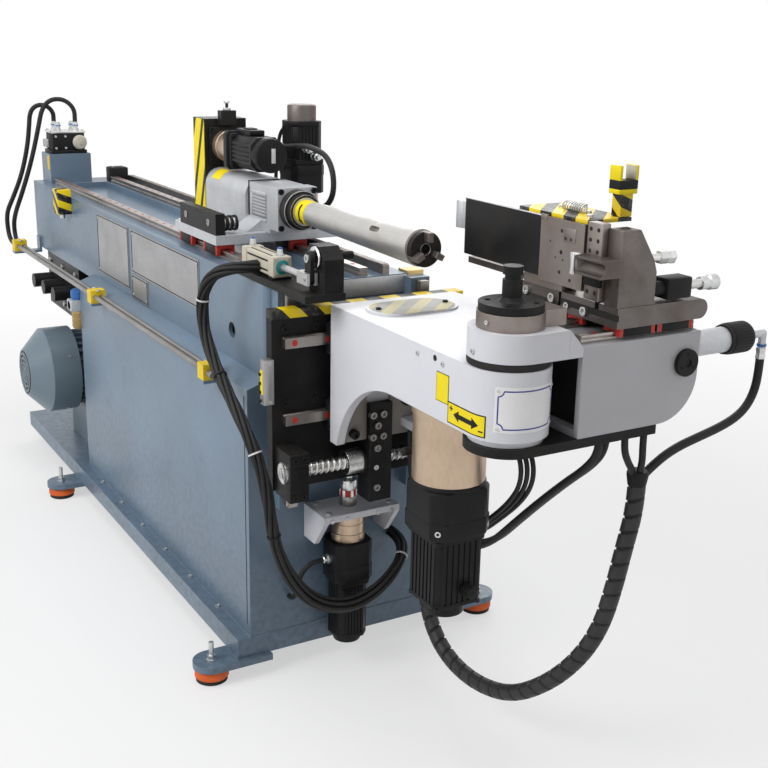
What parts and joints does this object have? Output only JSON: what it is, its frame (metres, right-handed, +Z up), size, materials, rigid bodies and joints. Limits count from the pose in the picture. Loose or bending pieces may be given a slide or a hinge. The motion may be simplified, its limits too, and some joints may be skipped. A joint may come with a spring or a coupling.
{
  "type": "cnc pipe bending machine",
  "caption": "Floor-standing tube bender: steel bed with servo carriage and chuck on rails, lifting bend head with swing arm, clamp and pressure slides, hydraulic unit.",
  "frame": {"origin": "on the floor, at the middle of the machine's outline in plan", "axes": "+X along the bed towards the bend head, +Y towards the side where the bend arm rests, +Z up"},
  "size_m": [2.8395, 0.9904, 1.306],
  "materials": {
    "frame_paint": "satin blue-grey paint",
    "head_paint": "satin light grey paint",
    "machined_steel": "machined tool steel, brownish",
    "bright_steel": "ground steel",
    "black_steel": "black oxide",
    "servo_black": "black anodised",
    "gear_tan": "tan anodised",
    "bare_alloy": "cast and machined alloy",
    "plate_silver": "brushed plate",
    "mount_orange": "orange cap over black rubber",
    "zinc": "zinc plated",
    "clamp_yellow": "yellow plastic",
    "black_plastic": "black plastic",
    "hose_black": "black hose",
    "beige_alloy": "beige painted alloy"
  },
  "bodies": {
    "frame": {"base_skid": "frame_paint", "foot_mounts": "mount_orange", "foot_studs": "zinc", "pedestal": "frame_paint", "beam": "frame_paint", "base_rails": "bright_steel", "limit_switches": "black_plastic", "side_plates": "plate_silver", "hydraulic_pipes": "zinc", "pipe_clamps": "clamp_yellow", "valve_block": "black_steel", "pump_motor": "bare_alloy", "hydraulic_tank": "black_steel", "filter_regulator": "bare_alloy", "shelf_plate": "black_steel", "air_cylinder": "beige_alloy", "lift_bracket": "head_paint", "lift_servo": "servo_black", "base_hoses": "hose_black"},
    "air_rod": {"air_rod": "zinc"},
    "lever": {"support_lever": "black_steel"},
    "lift_screw": {"lift_screw": "bright_steel"},
    "carriage": {"carriage_plate": "bright_steel", "carriage_blocks": "bright_steel", "rotary_housing": "bare_alloy", "belt_guard": "black_plastic", "timing_belt": "hose_black", "rotary_servo": "servo_black", "feed_servo": "servo_black", "side_bracket": "black_steel", "carriage_cables": "hose_black"},
    "pinion": {"feed_pinion": "bright_steel"},
    "pulley": {"drive_pulley": "bare_alloy"},
    "collet": {"collet_barrel": "bright_steel", "chuck_body": "machined_steel"},
    "jaw_1": {"jaw_1": "machined_steel"},
    "jaw_2": {"jaw_2": "machined_steel"},
    "jaw_3": {"jaw_3": "machined_steel"},
    "slide": {"slide_plate": "black_steel", "lift_blocks": "bright_steel", "shift_rails": "bright_steel"},
    "shift_screw": {"shift_screw": "bright_steel"},
    "head": {"head_housing": "head_paint", "head_guides": "bright_steel", "drive_bar": "black_steel", "bend_gearbox": "gear_tan", "bend_motor": "servo_black", "head_hoses": "hose_black"},
    "arm": {"arm_frame": "head_paint", "arm_plates": "black_steel", "bend_post": "machined_steel", "die_seat": "machined_steel", "clamp_cylinder": "zinc", "arm_hoses": "hose_black"},
    "clamp": {"clamp_bolster": "machined_steel", "clamp_tower": "machined_steel", "clamp_die": "machined_steel"},
    "pressure": {"pressure_bolster": "machined_steel"},
    "booster": {"pressure_plate": "machined_steel", "slide_cover": "black_steel"}
  },
  "joints": [
    {"name": "feed", "type": "slide", "parent": "frame", "child": "carriage", "axis": [1, 0, 0], "range_m": [-1, 0.1]},
    {"name": "pinion_spin", "type": "hinge", "parent": "carriage", "child": "pinion", "pos_m": [0.089, 0.0335, 0.961], "axis": [0, 0, 1], "range_deg": [-200, 1920]},
    {"name": "collet_spin", "type": "hinge", "parent": "carriage", "child": "collet", "pos_m": [0.619, -0.116, 1.074], "axis": [1, 0, 0], "continuous": true},
    {"name": "pulley_spin", "type": "hinge", "parent": "carriage", "child": "pulley", "pos_m": [-0.113, -0.116, 1.187], "axis": [1, 0, 0], "continuous": true},
    {"name": "lift", "type": "slide", "parent": "frame", "child": "slide", "axis": [0, 0, 1], "range_m": [-0.06, 0.015]},
    {"name": "lift_spin", "type": "hinge", "parent": "frame", "child": "lift_screw", "pos_m": [0.671, -0.132, 0.6], "axis": [0, 0, 1], "range_deg": [-545, 2165]},
    {"name": "shift", "type": "slide", "parent": "slide", "child": "head", "axis": [0, 1, 0], "range_m": [-0.06, 0.03]},
    {"name": "shift_spin", "type": "hinge", "parent": "slide", "child": "shift_screw", "pos_m": [0.765, -0.072, 0.567], "axis": [0, 1, 0], "range_deg": [-1085, 2165]},
    {"name": "bend", "type": "hinge", "parent": "head", "child": "arm", "pos_m": [1.296, -0.148, 0.87], "axis": [0, 0, 1], "range_deg": [-180, 0]},
    {"name": "clamp_close", "type": "slide", "parent": "arm", "child": "clamp", "axis": [0, 1, 0], "range_m": [-0.068, 0]},
    {"name": "pressure_close", "type": "slide", "parent": "head", "child": "pressure", "axis": [0, 1, 0], "range_m": [-0.05, 0]},
    {"name": "boost", "type": "slide", "parent": "pressure", "child": "booster", "axis": [1, 0, 0], "range_m": [-0.12, 0]},
    {"name": "rod_stroke", "type": "slide", "parent": "frame", "child": "air_rod", "axis": [1, 0, 0], "range_m": [-0.008, 0.008]},
    {"name": "lever_swing", "type": "hinge", "parent": "frame", "child": "lever", "pos_m": [0.771, -0.272, 1.037], "axis": [0, 1, 0], "range_deg": [-11, 11]},
    {"name": "jaw_1_grip", "type": "slide", "parent": "collet", "child": "jaw_1", "axis": [0, 0, 1], "range_m": [-0.0045, 0]},
    {"name": "jaw_2_grip", "type": "slide", "parent": "collet", "child": "jaw_2", "axis": [0, -0.866, -0.5], "range_m": [-0.0045, 0]},
    {"name": "jaw_3_grip", "type": "slide", "parent": "collet", "child": "jaw_3", "axis": [0, 0.866, -0.5], "range_m": [-0.0045, 0]}
  ],
  "couplings": [
    {"joint": "pinion_spin", "follows": "feed", "rad_per_m": -33.333},
    {"joint": "pulley_spin", "follows": "collet_spin", "ratio": 1},
    {"joint": "lift_spin", "follows": "lift", "rad_per_m": -628.32},
    {"joint": "shift_spin", "follows": "shift", "rad_per_m": -628.32},
    {"joint": "lever_swing", "follows": "rod_stroke", "rad_per_m": -23.256},
    {"joint": "jaw_2_grip", "follows": "jaw_1_grip", "ratio": 1},
    {"joint": "jaw_3_grip", "follows": "jaw_1_grip", "ratio": 1}
  ]
}
